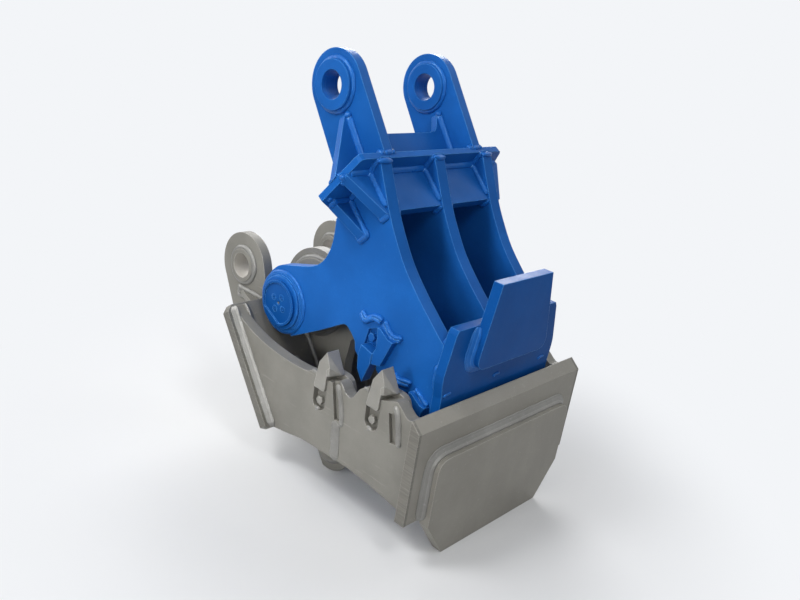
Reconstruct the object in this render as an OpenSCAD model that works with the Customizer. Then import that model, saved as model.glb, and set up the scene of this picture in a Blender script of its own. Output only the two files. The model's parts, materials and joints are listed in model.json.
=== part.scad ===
// Mechanical concrete crusher for an excavator: a ring-shaped lower jaw that is held on the
// stick, and an upper jaw that swings in it about one hinge pin and is pulled by the bucket link.
// Units are millimetres. X runs to the front plates, Y across the jaws and Z up. The origin is on
// the stick pin's axis at mid width.

/* [Overall] */
// Distance from the stick pin to the face of the lower wear pad, which the side outlines follow
reach = 971; // [930:1:1010]
// Width over the lower jaw's front and rear plates
jaw_w = 736; // [716:1:780]
// Width over the upper jaw's side plates
upper_w = 472; // [460:1:480]

/* [Pins and bosses] */
// Bore for the stick pin
stick_bore_d = 80; // [60:1:90]
// Bore for the bucket link pin
link_bore_d = 80; // [60:1:90]
// Clear gap between the boss faces of either pair of ears
boss_gap = 320; // [300:1:330]
// Length of each boss along its pin
boss_len = 60; // [56:1:66]
// Thickness of the ear plates
ear_t = 32; // [25:1:36]
// How far the stick bosses stand inside their ears
stick_boss_step = 18; // [6:1:20]
// How far the link bosses stand inside their ears
link_boss_step = 12; // [6:1:20]
// Diameter of the stick bosses
stick_boss_d = 108; // [100:1:140]
// Diameter of the link bosses
link_boss_d = 139; // [120:1:150]
// Radius of the stick ears' heads
stick_head_r = 105; // [95:1:110]
// Radius of the link ears' heads
link_head_r = 98; // [90:1:104]
// Bore for the stiff arm pin
arm_bore_d = 70; // [50:1:80]
// Diameter of the stiff arm bosses
arm_boss_d = 112; // [100:1:130]
// Radius of the stiff arm lug
arm_lug_r = 89; // [80:1:95]

/* [Hinge] */
// Diameter of the hinge pin
hinge_pin_d = 100; // [80:1:110]
// Radial running clearance of the hinge pin in its bushes
pin_clear = 0.05; // [0.02:0.01:0.09]
// Axial clearance beside the thrust washers
side_clear = 0.3; // [0.2:0.1:0.8]
// Wall of the hinge bushes
bush_wall = 10; // [6:1:14]
// Radius of the lower jaw's round hinge lugs
hinge_lug_r = 150; // [140:1:155]
// Gap between the two hinge lugs
hinge_lug_gap = 136; // [120:1:150]
// Thickness of each hinge lug
hinge_lug_t = 36; // [30:1:40]
// Diameter of the welded ring on each hinge lug
lug_ring_d = 240; // [200:1:260]
// How far that ring stands out
lug_ring_h = 12; // [6:1:14]
// Diameter of the tube between the hinge lugs
hub_d = 190; // [160:1:220]
// Radius of the upper jaw's arm ends
arm_head_r = 99; // [95:1:100]
// Diameter of the inner boss on each arm
inner_boss_d = 184; // [160:1:190]
// Diameter of the outer ring on each arm
outer_ring_d = 184; // [180:1:194]
// Diameter of the second ring on each arm
step_ring_d = 168; // [156:1:172]
// Height of each of those two rings
ring_h = 8; // [6:1:10]
// Diameter of the hinge pin's cap
cap_d = 143; // [130:1:150]
// Thickness of the cap
cap_t = 10; // [8:1:12]
// Depth of the recess in the cap
cap_recess = 5; // [3:0.5:6]
// Width of the cap's rim
cap_rim = 8; // [6:0.5:12]
// Thickness of the thrust washers
washer_t = 4; // [3:0.5:6]

/* [Lower jaw plates] */
// Thickness of the side walls
wall_t = 36; // [30:1:40]
// How far the front and rear plates stand out past the side walls
end_lip = 28; // [20:1:34]
// Thickness of the rear plate
rear_t = 28; // [25:1:36]
// Height of the rear plate along its slope
rear_h = 391; // [385:1:396]
// Backward lean of the rear plate in degrees
rear_lean = 38; // [37:0.5:39]
// Thickness of the front plate
front_t = 32; // [28:1:36]
// Height of the front plate
front_h = 298; // [290:1:305]
// Drop of the bevel on the front plate's top
front_bevel = 27; // [15:1:32]
// Thickness of the lower wear pad
pad_t = 30; // [20:1:40]
// Thickness of the flat gussets beside the stick ears
ear_gusset_t = 20; // [12:1:26]

/* [Upper jaw plates] */
// Thickness of the side plates
side_t = 40; // [34:1:44]
// Thickness of the middle plate
mid_t = 40; // [30:1:46]
// Thickness of the cross plate
cross_t = 20; // [16:1:28]
// Thickness of the back plate
back_t = 22; // [16:1:26]
// Thickness of the braces under the cross plate
brace_t = 30; // [20:1:32]
// Thickness of the upper front plate
upper_front_t = 30; // [25:1:34]
// Thickness of the upper wear pad
upper_pad_t = 31; // [20:1:36]
// Clear gap between the upper jaw's front plate and the lower jaw's
front_gap = 14; // [10:1:20]
// Side of the corner bars between the back plate and the ears
corner_bar = 9; // [6:1:14]
// How far the cross plate's ends stand out past the side plates
wing_out = 104; // [90:1:110]

/* [Teeth] */
// Width of the slot that takes a lower tooth
slot_w = 46; // [40:1:50]
// Depth of the bolt pockets
pocket_d = 18; // [12:1:22]
// Width of a bolt pocket
pocket_w = 50; // [46:1:54]
// Thickness of the tooth blocks inside the side walls
block_t = 20; // [14:1:30]
// How far the lower teeth stand out of the side walls
tooth_out = 6; // [0:1:10]
// Clearance round a seated tooth
tooth_clear = 0.4; // [0.2:0.1:1]
// Height of the raised seats beside the upper teeth
upper_seat_t = 20; // [14:1:22]
// Depth of the slots that take the upper teeth
upper_slot_d = 10; // [6:1:14]
// How far the ledge of an upper tooth stands out of the side plate
upper_tooth_out = 24; // [20:1:28]
// Thickness of the lower teeth's shoulders where they rest on the inside of the wall
tooth_shoulder_t = 10; // [6:1:14]
// Diameter of the tooth bolts
bolt_d = 16; // [12:1:20]
// Width across the corners of the tooth bolt heads
bolt_head_d = 25; // [20:1:28]
// Height of the tooth bolt heads
bolt_head_h = 11; // [8:1:14]
// Radial clearance round a bolt
bolt_clear = 0.3; // [0.1:0.1:0.6]
// Depth of the grooves beside the lower teeth
groove_d = 21; // [8:1:24]
// Width of those grooves
groove_w = 34; // [24:1:40]

/* [Hidden] */

// One overrun for all cuts, and the reach of the large cutting blocks
over = 2;
big = 2 * reach;
$fn = 96;
lower_grey = [0.50, 0.49, 0.47];
tooth_grey = [0.66, 0.65, 0.63];
upper_blue = [0.12, 0.36, 0.78];

// Places across the width, measured from the middle plane
wall_out = jaw_w / 2 - end_lip;
wall_in = wall_out - wall_t;
stick_ear_in = boss_gap / 2 + stick_boss_step;
link_ear_in = boss_gap / 2 + link_boss_step;
lug_in = hinge_lug_gap / 2;
lug_out = lug_in + hinge_lug_t;
washer_in = lug_out + lug_ring_h;
inner_boss_in = washer_in + washer_t + side_clear;
side_out = upper_w / 2;
side_in = side_out - side_t;
block_in = wall_in - block_t;
cap_in = side_out + 2 * ring_h;
cross_out = side_out + wing_out;
link_ear_out = link_ear_in + ear_t;

// Places along the jaw and up, as shares of the reach
hinge_shares = [0.2482, -0.035];
link_shares = [0.3316, 0.6509];
arm_pin_shares = [0.5036, -0.4202];
rear_foot_shares = [0.3632, -0.3996];
cross_front_shares = [0.5499, 0.5118];
back_foot_shares = [0.5036, 0.4387];
front_brace_shares = [0.6303, 0.3708];
rear_brace_shares = [0.5602, 0.2884];
front_foot_share = -0.3831;
hinge = hinge_shares * reach;
link = link_shares * reach;
arm_pin = arm_pin_shares * reach;
rear_foot = rear_foot_shares * reach;
gusset_top = rear_foot[1] + rear_h * cos(rear_lean);
cross_front = cross_front_shares * reach;
back_foot = back_foot_shares * reach;
front_brace = front_brace_shares * reach;
rear_brace = rear_brace_shares * reach;
front_x = reach - pad_t - front_t;
upper_front_x = front_x - front_gap;
stage_x = upper_front_x - upper_front_t;

// Leans of the sloping plates, in degrees
cross_turn = 122.3;
back_lean = 37.2;
brace_lean = 46.7;

// Side outlines, as shares of the reach
wall_rear_shares = [[0.1215, -0.0536], [0.1679, -0.0865], [0.2286, -0.1123], [0.2935, -0.1287], [0.3563, -0.1365], [0.4161, -0.1395], [0.4727, -0.138], [0.5067, -0.1339], [0.5252, -0.1236], [0.5417, -0.1195]];
wall_mid_shares = [[0.5911, -0.1277], [0.5994, -0.1246], [0.6097, -0.1246], [0.62, -0.1205], [0.6282, -0.1133], [0.6375, -0.1092], [0.6478, -0.1112], [0.6581, -0.1195], [0.6694, -0.1318], [0.6838, -0.137], [0.6982, -0.1298], [0.7106, -0.1092], [0.7199, -0.0947], [0.7353, -0.0834], [0.7528, -0.07]];
wall_front_shares = [[0.8012, -0.0886], [0.8239, -0.0814], [0.8527, -0.07], [0.8671, -0.0752], [0.898, -0.0978], [0.9145, -0.0968], [0.9423, -0.0824]];
wall_low_shares = [[0.9578, -0.3759], [0.9114, -0.3697], [0.8507, -0.3605], [0.7693, -0.3522], [0.7106, -0.3491], [0.6426, -0.3512], [0.5685, -0.3543], [0.5088, -0.3584], [0.4634, -0.3677], [0.3872, -0.3811], [0.3553, -0.3862]];
stick_ear_shares = [[-0.0956, -0.0505], [-0.0412, -0.1524], [-0.0082, -0.2111], [0.0515, -0.2781], [0.1287, -0.3275], [0.242, -0.3625], [0.4325, -0.4037], [0.1648, -0.1648], [0.1032, 0.0323]];
arm_lug_shares = [[0.4325, -0.4377], [0.3553, -0.3399], [0.2575, -0.2369], [0.3399, -0.243], [0.4119, -0.2698], [0.5149, -0.3316], [0.5788, -0.3677], [0.5036, -0.4202]];
hinge_web_shares = [[0.2482, -0.035], [0.1236, -0.0927], [0.4119, -0.4068], [0.414, -0.3399], [0.4161, -0.206], [0.4284, -0.1236], [0.484, -0.068], [0.4861, -0.0309], [0.3996, -0.0309]];
stop_x_shares = [0.449, 0.4861];
stop_z_share = -0.0304;
side_rear_shares = [[0.4356, 0.3048], [0.4356, 0.2698], [0.4346, 0.2348], [0.4295, 0.208], [0.4181, 0.1771], [0.4016, 0.1524], [0.3769, 0.1318], [0.3399, 0.1148], [0.2595, 0.0906], [0.2183, 0.0778], [0.1957, 0.0628], [0.1746, 0.0407], [0.1632, 0.0206]];
side_low_shares = [[0.2997, -0.1323], [0.4264, -0.0597], [0.5098, -0.0072], [0.5273, -0.001], [0.5417, -0.0051], [0.5654, -0.0247], [0.5757, -0.0371], [0.5788, -0.0556], [0.5901, -0.069], [0.6035, -0.0742]];
side_tip_shares = [[0.6591, -0.0742], [0.7106, -0.1153], [0.7436, -0.1648], [0.7827, -0.2019], [0.8301, -0.2101], [0.8713, -0.1833], [0.9063, -0.1442]];
side_front_shares = [[0.9063, 0.0783], [0.8847, 0.0896], [0.8651, 0.105], [0.8095, 0.1524], [0.7827, 0.1761], [0.7209, 0.2379], [0.6766, 0.2987], [0.6334, 0.3708], [0.5767, 0.4912], [0.5613, 0.5252], [0.4943, 0.5767]];
under_top_shares = [[0.4356, 0.0865], [0.5644, 0.0021], [0.7209, -0.0721], [0.9063, -0.1256]];
under_low_shares = [[0.9063, -0.1524], [0.7127, -0.0989], [0.552, -0.0227], [0.4109, 0.0721]];
cover_shares = [[0.4109, 0.0721], [0.4356, 0.0865], [0.4717, 0.3502], [0.447, 0.3502]];
ear_foot_shares = [[0.4138, 0.7095], [0.2512, 0.5899], [0.3605, 0.4325], [0.4634, 0.2842], [0.6076, 0.4377]];
tooth_shares = [[0.5829, -0.0412], [0.5572, -0.0793], [0.5469, -0.1442], [0.5453, -0.1576], [0.5489, -0.1627], [0.587, -0.1627], [0.5906, -0.1545], [0.5911, -0.1236], [0.6004, -0.0814]];
tooth_point_shares = [[0.5829, -0.0412], [0.5572, -0.0793], [0.5963, -0.0999], [0.6004, -0.0814]];
tooth_shoulder_shares = [[0.5829, -0.0412], [0.5572, -0.0793], [0.5906, -0.1112], [0.6138, -0.1092], [0.62, -0.104]];
block_shares = [[0.5396, -0.241], [0.5417, -0.1277], [0.5469, -0.1112], [0.5613, -0.1061], [0.621, -0.1061], [0.6344, -0.1092], [0.6447, -0.1174], [0.6529, -0.1339], [0.6622, -0.1565], [0.6674, -0.1874], [0.6653, -0.241]];
tooth_step_shares = [0.2091, 0.0391];
groove_step_shares = [0.2152, 0.036];
tooth_bolt_shares = [0.5613, -0.206];
groove_shares = [0.6385, -0.2307];
groove_turn = -14;
groove_rise_shares = [0.16, 0.085];
upper_slot_shares = [[0.622, 0.0247], [0.655, 0.0391], [0.6663, 0.033], [0.6725, -0.0124], [0.6704, -0.0412], [0.6694, -0.1442], [0.5932, -0.1442], [0.6076, -0.0515]];
upper_tooth_shares = [[0.6241, -0.0185], [0.6684, -0.0288], [0.6663, -0.0639], [0.6447, -0.1277], [0.621, -0.0947], [0.6169, -0.0515]];
upper_seat_shares = [[0.6715, 0.0515], [0.6838, 0.0515], [0.7147, 0.0319], [0.7333, 0.0288], [0.7003, -0.0546], [0.6653, -0.0628], [0.6663, -0.0309], [0.6777, -0.0103], [0.6746, 0.035]];
upper_face_lean = 17;
upper_bolt_shares = [0.6365, 0.0041];
upper_step_shares = [0.1462, -0.1329];
gusset_rear_share = -0.0103;
gusset_foot_share = 0.1442;
gusset_breadth_share = 0.0577;

// The cross plate from its front edge down its slope, then across, and how far past it the cuts go
cross_depth_share = 0.2348;
cross_outline_shares = [[0, -0.8353], [0.0033, -0.8635], [0.0118, -0.8803], [0.1596, -1], [cross_depth_share, -0.7],
  [cross_depth_share, 0.7], [0.1596, 1], [0.0118, 0.8803], [0.0033, 0.8635], [0, 0.8353]];
cut_past_share = 1.12;

// Outlines across the width: shares of half a width, then shares of the reach
pad_shares = [[0.701, -0.1905], [0.733, -0.1916], [0.764, -0.195], [0.789, -0.2015], [0.807, -0.211], [0.8173, -0.2235], [0.8207, -0.24], [0.8207, -0.3955], [0.6005, -0.5118]];
upper_pad_shares = [[0.4831, 0.2575], [0.6525, 0.0566], [0.6575, 0.046], [0.653, 0.0362], [0.637, 0.0275], [0.609, 0.0207], [0.57, 0.0165], [0.52, 0.0148]];
upper_front_shares = [[0.9322, 0.1349], [0.962, 0.122], [1.0085, 0.07], [1.0593, 0.0093], [1.0593, -0.0154], [1.0339, -0.0577], [1.0339, -0.1493]];

// Back plate: shares of the ears' inner half gap, then of the reach
back_mid_shares = [[1, -0.06], [1, 0.1812], [0.942, 0.176], [0.9, 0.158], [0.84, 0.137], [0.756, 0.123], [0.6, 0.1184]];
// Its outer wings: shares of the wing's breadth, then of the reach
back_wing_shares = [[0, -0.06], [1.25, -0.06], [1, 0], [0.125, 0.174], [0.06, 0.181], [0, 0.1812]];

// Outer braces: shares of the brace's breadth, then of the reach
brace_top_share = 0.16;
wing_brace_shares = [[0, -0.006], [0.12, -0.004], [1, 0.118], [0.97, brace_top_share], [0, brace_top_share]];
// How much of the cross plate's overhang the outer braces and the back plate's wings take
front_brace_out_share = 0.8;
rear_brace_out_share = 0.63;
back_wing_out_share = 0.844;
corner_bar_share = 0.172;

// Screws and grease fitting of the pin caps
cap_bolt_r_share = 0.177;
cap_bolt_r = cap_bolt_r_share * cap_d;
cap_bolt_d = 8;
cap_bolt_head_d = 13;
cap_bolt_head_h = 2;
grease_d = 12;

function mix(a, b, c, d, t) =
  (2 * b + (c - a) * t + (2 * a - 5 * b + 4 * c - d) * t * t + (3 * b - a - 3 * c + d) * t * t * t) / 2;
// A smooth line through the points of a table, with n steps between two of them
function smooth(p, n) = [for (i = [0 : len(p) - 2]) for (k = [0 : n - 1])
  mix(p[max(i - 1, 0)], p[i], p[i + 1], p[min(i + 2, len(p) - 1)], k / n)];
function both_sides(p, half) = concat([for (q = p) [q[0] * half, q[1] * reach]],
  [for (i = [len(p) - 1 : -1 : 0]) [-p[i][0] * half, p[i][1] * reach]]);

// A plate parallel to the side walls, from y0 to y1, with its outline in X and Z
module slab(y0, y1) translate([0, y1, 0]) rotate([90, 0, 0]) linear_extrude(y1 - y0) children();
module side_slab(y0, y1, shares) slab(y0, y1) polygon(shares * reach);
// A disc or ring about an axis that runs across the jaws
module disc(at, d, y0, y1) translate([at[0], y1, at[1]]) rotate([90, 0, 0]) cylinder(d = d, h = y1 - y0);
module ring(at, d, bore, y0, y1) difference() {
  disc(at, d, y0, y1);
  disc(at, bore, y0 - over, y1 + over);
}
// A ring with a chamfered outer edge at its y1 end
module boss(at, d, bore, y0, y1, edge) translate([at[0], 0, at[1]]) rotate([-90, 0, 0])
  rotate_extrude() polygon([[bore / 2, y0], [d / 2, y0], [d / 2, y1 - edge], [d / 2 - edge, y1], [bore / 2, y1]]);
// A plate across the jaws from x0 to x1, with its outline in Y and Z
module cross_slab(x0, x1, points) translate([x0, 0, 0]) rotate([90, 0, 90]) linear_extrude(x1 - x0) polygon(points);
module left() children();
module right() mirror([0, 1, 0]) children();
module pair() { children(); mirror([0, 1, 0]) children(); }

// Frames of the sloping plates
module on_rear() translate([rear_foot[0], 0, rear_foot[1]]) rotate([0, -rear_lean, 0]) children();
module on_cross() translate([cross_front[0], 0, cross_front[1]]) rotate([0, cross_turn, 0]) children();
module on_back() translate([back_foot[0], 0, back_foot[1]]) rotate([0, -back_lean, 0]) children();
module on_brace(at) translate([at[0], 0, at[1]]) rotate([0, -brace_lean, 0]) children();
// Everything behind the rear plate's front face, or in front of its rear face up to its top
module behind_rear_front() on_rear() translate([rear_t - big, -big, -big]) cube([big, 2 * big, 2 * big]);
module before_rear_back() on_rear() translate([0, -big, -big]) cube([big, 2 * big, big + rear_h]);
module before_front_plate() translate([front_x, -big, -big]) cube([big, 2 * big, 2 * big]);
module before_upper_front() translate([stage_x, -big, -big]) cube([big, 2 * big, 2 * big]);
// Everything above the cross plate's underside, or below its top
module above_cross_low() on_cross() translate([-big, -big, cross_t - big]) cube([big + cut_past_share * cross_depth_share * reach, 2 * big, big]);
module below_cross_top() on_cross() translate([-big, -big, 0]) cube([2 * big, 2 * big, big]);

// Lower jaw
module rear_plate() color(lower_grey) on_rear() {
  half = jaw_w / 2;
  cut = end_lip * 2 / 3;
  cross_slab(0, rear_t, [[-half, cut / 2], [-half + cut, 0], [half - cut, 0], [half, cut / 2],
    [half, rear_h - cut], [half - cut, rear_h], [cut - half, rear_h], [-half, rear_h - cut]]);
}

module tooth_cuts(step) translate([step[0], 0, step[1]]) {
  at = tooth_bolt_shares * reach;
  mid = (tooth_shares[5][0] + tooth_shares[4][0]) * reach / 2;
  floor_z = tooth_shares[4][1] * reach;
  translate([mid - slot_w / 2, wall_in - over, floor_z]) cube([slot_w, wall_t + 2 * over, big]);
  translate([mid - pocket_w / 2, wall_out - pocket_d, at[1]]) cube([pocket_w, pocket_d + over, floor_z - at[1] + over]);
  disc([mid, at[1]], pocket_w, wall_out - pocket_d, wall_out + over);
  disc(at, bolt_d + 2 * bolt_clear, wall_in - over, wall_out);
}
// A groove with one upright side and a ramp, rising the given height
module groove(step, rise) translate([groove_shares[0] * reach + step[0], wall_out, groove_shares[1] * reach + step[1]])
  rotate([0, groove_turn, 0]) linear_extrude(rise) polygon([[0, -groove_d], [groove_w, 0], [groove_w, over], [0, over]]);
module side_wall() difference() {
  side_slab(wall_in, wall_out, concat(smooth(wall_rear_shares, 4), [wall_rear_shares[9]],
    smooth(wall_mid_shares, 3), [wall_mid_shares[14]], smooth(wall_front_shares, 3),
    smooth(wall_low_shares, 2), [wall_low_shares[10]]));
  behind_rear_front();
  before_front_plate();
  tooth_cuts([0, 0]);
  tooth_cuts(tooth_step_shares * reach);
  groove([0, 0], groove_rise_shares[0] * reach);
  groove(groove_step_shares * reach, groove_rise_shares[1] * reach);
}
module side_wall_left() color(lower_grey) left() side_wall();
module side_wall_right() color(lower_grey) right() side_wall();

module front_plate() color(lower_grey) {
  foot = front_foot_share * reach;
  slab(-jaw_w / 2, jaw_w / 2) polygon([[front_x, foot], [front_x + front_t, foot],
    [front_x + front_t, foot + front_h - front_bevel], [front_x, foot + front_h]]);
}
module lower_wear_pad() color(lower_grey)
  cross_slab(reach - pad_t, reach, both_sides(pad_shares, jaw_w / 2));

module stick_ear() difference() {
  union() {
    disc([0, 0], 2 * stick_head_r, stick_ear_in, stick_ear_in + ear_t);
    side_slab(stick_ear_in, stick_ear_in + ear_t, stick_ear_shares);
  }
  before_rear_back();
  disc([0, 0], stick_bore_d, stick_ear_in - over, stick_ear_in + ear_t + over);
}
module stick_ear_left() color(lower_grey) left() stick_ear();
module stick_ear_right() color(lower_grey) right() stick_ear();
module stick_bosses() color(lower_grey) pair() {
  boss([0, 0], stick_boss_d, stick_bore_d, stick_ear_in + ear_t, boss_gap / 2 + boss_len, over);
  mirror([0, 1, 0]) boss([0, 0], stick_boss_d, stick_bore_d, -stick_ear_in, -boss_gap / 2, over);
}
module ear_gussets() color(lower_grey) pair() difference() {
  translate([0, stick_ear_in + ear_t, gusset_top - ear_gusset_t]) linear_extrude(ear_gusset_t)
    polygon([[gusset_rear_share, 0], [gusset_foot_share, 0], [gusset_foot_share, gusset_breadth_share]] * reach);
  before_rear_back();
}

module hinge_lug() difference() {
  union() {
    disc(hinge, 2 * hinge_lug_r, lug_in, lug_out);
    side_slab(lug_in, lug_out, hinge_web_shares);
  }
  behind_rear_front();
  disc(hinge, hinge_pin_d + 2 * bush_wall, lug_in - over, lug_out + over);
}
module hinge_lug_left() color(lower_grey) left() hinge_lug();
module hinge_lug_right() color(lower_grey) right() hinge_lug();
module hinge_hub() color(lower_grey) {
  ring(hinge, hub_d, hinge_pin_d + 2 * bush_wall, -lug_in, lug_in);
  pair() difference() {
    boss(hinge, lug_ring_d, hinge_pin_d + 2 * bush_wall, lug_out, lug_out + lug_ring_h, over);
    behind_rear_front();
  }
}
module hinge_bushes() color([0.70, 0.52, 0.28]) pair()
  ring(hinge, hinge_pin_d + 2 * bush_wall, hinge_pin_d + 2 * pin_clear, lug_in - hinge_lug_t, washer_in);
module thrust_washers() color([0.70, 0.52, 0.28]) pair()
  ring(hinge, inner_boss_d, hinge_pin_d + 2 * pin_clear, washer_in, washer_in + washer_t);

module arm_lug() difference() {
  union() {
    disc(arm_pin, 2 * arm_lug_r, stick_ear_in, stick_ear_in + ear_t);
    side_slab(stick_ear_in, stick_ear_in + ear_t, arm_lug_shares);
  }
  behind_rear_front();
  disc(arm_pin, arm_bore_d, stick_ear_in - over, stick_ear_in + ear_t + over);
}
module arm_lug_left() color(lower_grey) left() arm_lug();
module arm_lug_right() color(lower_grey) right() arm_lug();
module arm_bosses() color(lower_grey) pair() {
  boss(arm_pin, arm_boss_d, arm_bore_d, stick_ear_in + ear_t, boss_gap / 2 + boss_len, over);
  mirror([0, 1, 0]) boss(arm_pin, arm_boss_d, arm_bore_d, -stick_ear_in, -boss_gap / 2, over);
}

// Teeth of the lower jaw
module at_teeth() {
  children();
  translate([tooth_step_shares[0] * reach, 0, tooth_step_shares[1] * reach]) children();
}
module tooth_blocks() color(lower_grey) pair() at_teeth() difference() {
  side_slab(block_in, wall_in, block_shares);
  disc(tooth_bolt_shares * reach, bolt_d + 2 * bolt_clear, block_in - over, wall_in + over);
}
module lower_teeth() color(tooth_grey) pair() at_teeth() {
  side_slab(wall_in, wall_out + tooth_out, tooth_shares);
  hull() {
    side_slab(wall_in, wall_in + tooth_shoulder_t, tooth_shoulder_shares);
    side_slab(wall_out, wall_out + tooth_out, tooth_point_shares);
  }
}
// A bolt whose head stands on head_at, with its shank that far in
module hex_bolt(at, head_at, depth, head_d, head_h, d) {
  disc(at, d, head_at - depth, head_at);
  hex_head(at, head_at, head_d, head_h);
}
module hex_head(at, y0, head_d, head_h)
  translate([at[0], y0 + head_h, at[1]]) rotate([90, 0, 0]) cylinder(d = head_d, h = head_h, $fn = 6);
module lower_tooth_bolts() color(tooth_grey) pair() at_teeth() {
  at = tooth_bolt_shares * reach;
  hex_bolt(at, wall_out - pocket_d, wall_out - pocket_d - block_in, bolt_head_d, bolt_head_h, bolt_d);
  hex_bolt(at, block_in, bolt_head_h, bolt_d, bolt_head_h, bolt_d);
  hex_head(at, block_in - bolt_head_h, bolt_head_d, bolt_head_h);
}

// Upper jaw
module plate_outline() polygon(concat(smooth(side_rear_shares, 2), [side_rear_shares[12]],
  smooth(side_low_shares, 2), [side_low_shares[9]], smooth(side_tip_shares, 3), [side_tip_shares[6]],
  smooth(side_front_shares, 3), [side_front_shares[10]]) * reach);
module side_plate() difference() {
  union() {
    slab(side_in, side_out) plate_outline();
    disc(hinge, 2 * arm_head_r, side_in, side_out);
  }
  above_cross_low();
  before_upper_front();
  disc(hinge, hinge_pin_d + 2 * pin_clear, side_in - over, side_out + over);
  at_upper_teeth() {
    disc(upper_bolt_shares * reach, bolt_d + 2 * bolt_clear, side_in - over, side_out + over);
    side_slab(side_out - upper_slot_d, side_out + over, upper_slot_shares);
  }
}
module side_plate_left() color(upper_blue) left() side_plate();
module side_plate_right() color(upper_blue) right() side_plate();
module middle_plate() color(upper_blue) difference() {
  slab(-mid_t / 2, mid_t / 2) polygon(concat(under_top_shares, smooth(side_front_shares, 3), [side_front_shares[10], cover_shares[2]]) * reach);
  above_cross_low();
  before_upper_front();
}
module cross_plate() color(upper_blue) on_cross() linear_extrude(cross_t)
  polygon([for (q = cross_outline_shares) [q[0] * reach, q[1] * cross_out]]);

module link_ear() difference() {
  union() {
    disc(link, 2 * link_head_r, link_ear_in, link_ear_in + ear_t);
    side_slab(link_ear_in, link_ear_in + ear_t, ear_foot_shares);
  }
  below_cross_top();
  disc(link, link_bore_d, link_ear_in - over, link_ear_in + ear_t + over);
}
module link_ear_left() color(upper_blue) left() link_ear();
module link_ear_right() color(upper_blue) right() link_ear();
module link_bosses() color(upper_blue) pair() {
  boss(link, link_boss_d, link_bore_d, link_ear_in + ear_t, boss_gap / 2 + boss_len, over);
  mirror([0, 1, 0]) boss(link, link_boss_d, link_bore_d, -link_ear_in, -boss_gap / 2, over);
}

module back_plate() color(upper_blue) difference() {
  on_back() cross_slab(-back_t, 0, both_sides(back_mid_shares, link_ear_in));
  below_cross_top();
}
module back_wings() color(upper_blue) pair() difference() {
  breadth = side_out + back_wing_out_share * wing_out - link_ear_out;
  on_back() translate([0, link_ear_out, 0]) cross_slab(-back_t, 0, [for (q = back_wing_shares) [q[0] * breadth, q[1] * reach]]);
  below_cross_top();
}
module corner_bars() color(upper_blue) pair() difference() {
  height = corner_bar_share * reach;
  on_back() {
    translate([0, link_ear_out, -height / 2]) linear_extrude(height * 3 / 2) polygon([[0, 0], [corner_bar, 0], [0, corner_bar]]);
    translate([0, link_ear_in, -height / 2]) linear_extrude(height * 3 / 2) polygon([[0, 0], [corner_bar, 0], [0, -corner_bar]]);
  }
  below_cross_top();
}

// Braces under the cross plate
module bay_braces() color(upper_blue) pair() difference() {
  on_brace(front_brace) translate([-brace_t, mid_t / 2, 0]) cube([brace_t, side_in - mid_t / 2, brace_top_share * reach]);
  above_cross_low();
}
module wing_brace(at, breadth) difference() {
  on_brace(at) translate([0, side_out, 0]) cross_slab(-brace_t, 0, [for (q = wing_brace_shares) [q[0] * breadth, q[1] * reach]]);
  above_cross_low();
}
module wing_braces_front() color(upper_blue) pair() wing_brace(front_brace, front_brace_out_share * wing_out);
module wing_braces_rear() color(upper_blue) pair() wing_brace(rear_brace, rear_brace_out_share * wing_out);

module upper_front_plate() color(upper_blue)
  cross_slab(stage_x, upper_front_x, both_sides(upper_front_shares, upper_w / 2));
module upper_wear_pad() color(upper_blue)
  cross_slab(upper_front_x, upper_front_x + upper_pad_t, both_sides(upper_pad_shares, upper_w / 2));
module rear_cover() color(upper_blue) difference() {
  side_slab(-side_in, side_in, cover_shares);
  above_cross_low();
}
module under_plate() color(upper_blue) difference() {
  side_slab(-side_in, side_in, concat(under_top_shares, under_low_shares));
  before_upper_front();
}
function on_line(a, b, x) = [x, a[1] + (b[1] - a[1]) * (x - a[0]) / (b[0] - a[0])];
module closing_stops() color(upper_blue) pair() side_slab(lug_in, lug_out, [[stop_x_shares[0], stop_z_share],
  [stop_x_shares[1], stop_z_share], on_line(under_low_shares[3], under_low_shares[2], stop_x_shares[1]),
  on_line(under_low_shares[3], under_low_shares[2], stop_x_shares[0])]);

// Hinge
module inner_bosses() color(upper_blue) pair()
  ring(hinge, inner_boss_d, hinge_pin_d + 2 * pin_clear, inner_boss_in, side_in);
module outer_rings() color(upper_blue) pair() {
  boss(hinge, outer_ring_d, hinge_pin_d + 2 * pin_clear, side_out, side_out + ring_h, over);
  boss(hinge, step_ring_d, hinge_pin_d + 2 * pin_clear, side_out + ring_h, cap_in, over);
}
module at_cap_bolts() for (a = [60 : 90 : 330])
  translate([hinge[0], 0, hinge[1]]) rotate([0, -a, 0]) translate([cap_bolt_r, 0, 0]) children();
module hinge_pin() color(tooth_grey) difference() {
  disc(hinge, hinge_pin_d, -cap_in, cap_in);
  pair() at_cap_bolts() disc([0, 0], cap_bolt_d, cap_in - 3 * cap_t, cap_in + over);
  pair() disc(hinge, grease_d / 2, cap_in - 3 * cap_t, cap_in + over);
}
module pin_caps() color(upper_blue) pair() difference() {
  boss(hinge, cap_d, grease_d, cap_in, cap_in + cap_t, over / 2);
  difference() {
    disc(hinge, cap_d - 2 * cap_rim, cap_in + cap_t - cap_recess, cap_in + cap_t + over);
    translate([hinge[0], 0, hinge[1]]) rotate([0, 206, 0]) translate([-cap_d, 0, cap_d * 0.35]) cube([2 * cap_d, 2 * cap_d, cap_d]);
  }
  at_cap_bolts() disc([0, 0], cap_bolt_d + 2 * bolt_clear, cap_in - over, cap_in + cap_t);
}
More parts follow.
